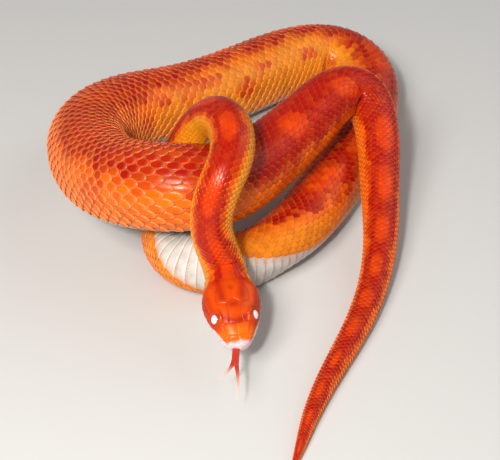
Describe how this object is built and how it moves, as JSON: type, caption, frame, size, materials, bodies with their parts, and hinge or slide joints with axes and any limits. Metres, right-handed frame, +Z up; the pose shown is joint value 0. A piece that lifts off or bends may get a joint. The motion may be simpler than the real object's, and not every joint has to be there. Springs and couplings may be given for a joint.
{
  "type": "corn snake, still model",
  "caption": "Adult amelanistic corn snake, life size, its body looped once over itself, head forward with the tongue out and the tail trailing to the front.",
  "frame": {"origin": "on the floor under the middle of the outline box", "axes": "+Z up; -Y the way the head, tongue and tail tip point; +X towards the side where the tail lies"},
  "size_m": [0.1574, 0.2639, 0.0735],
  "materials": {
    "scales": "satin",
    "eye": "gloss",
    "tongue": "satin"
  },
  "bodies": {
    "root": {"head": "scales", "eye_left": "eye", "eye_right": "eye", "tongue": "tongue", "neck": "scales", "torso_1": "scales", "torso_2": "scales", "torso_3": "scales", "torso_4": "scales", "torso_5": "scales", "torso_6": "scales", "torso_7": "scales", "torso_8": "scales", "torso_9": "scales", "torso_10": "scales", "tail": "scales"}
  },
  "joints": []
}
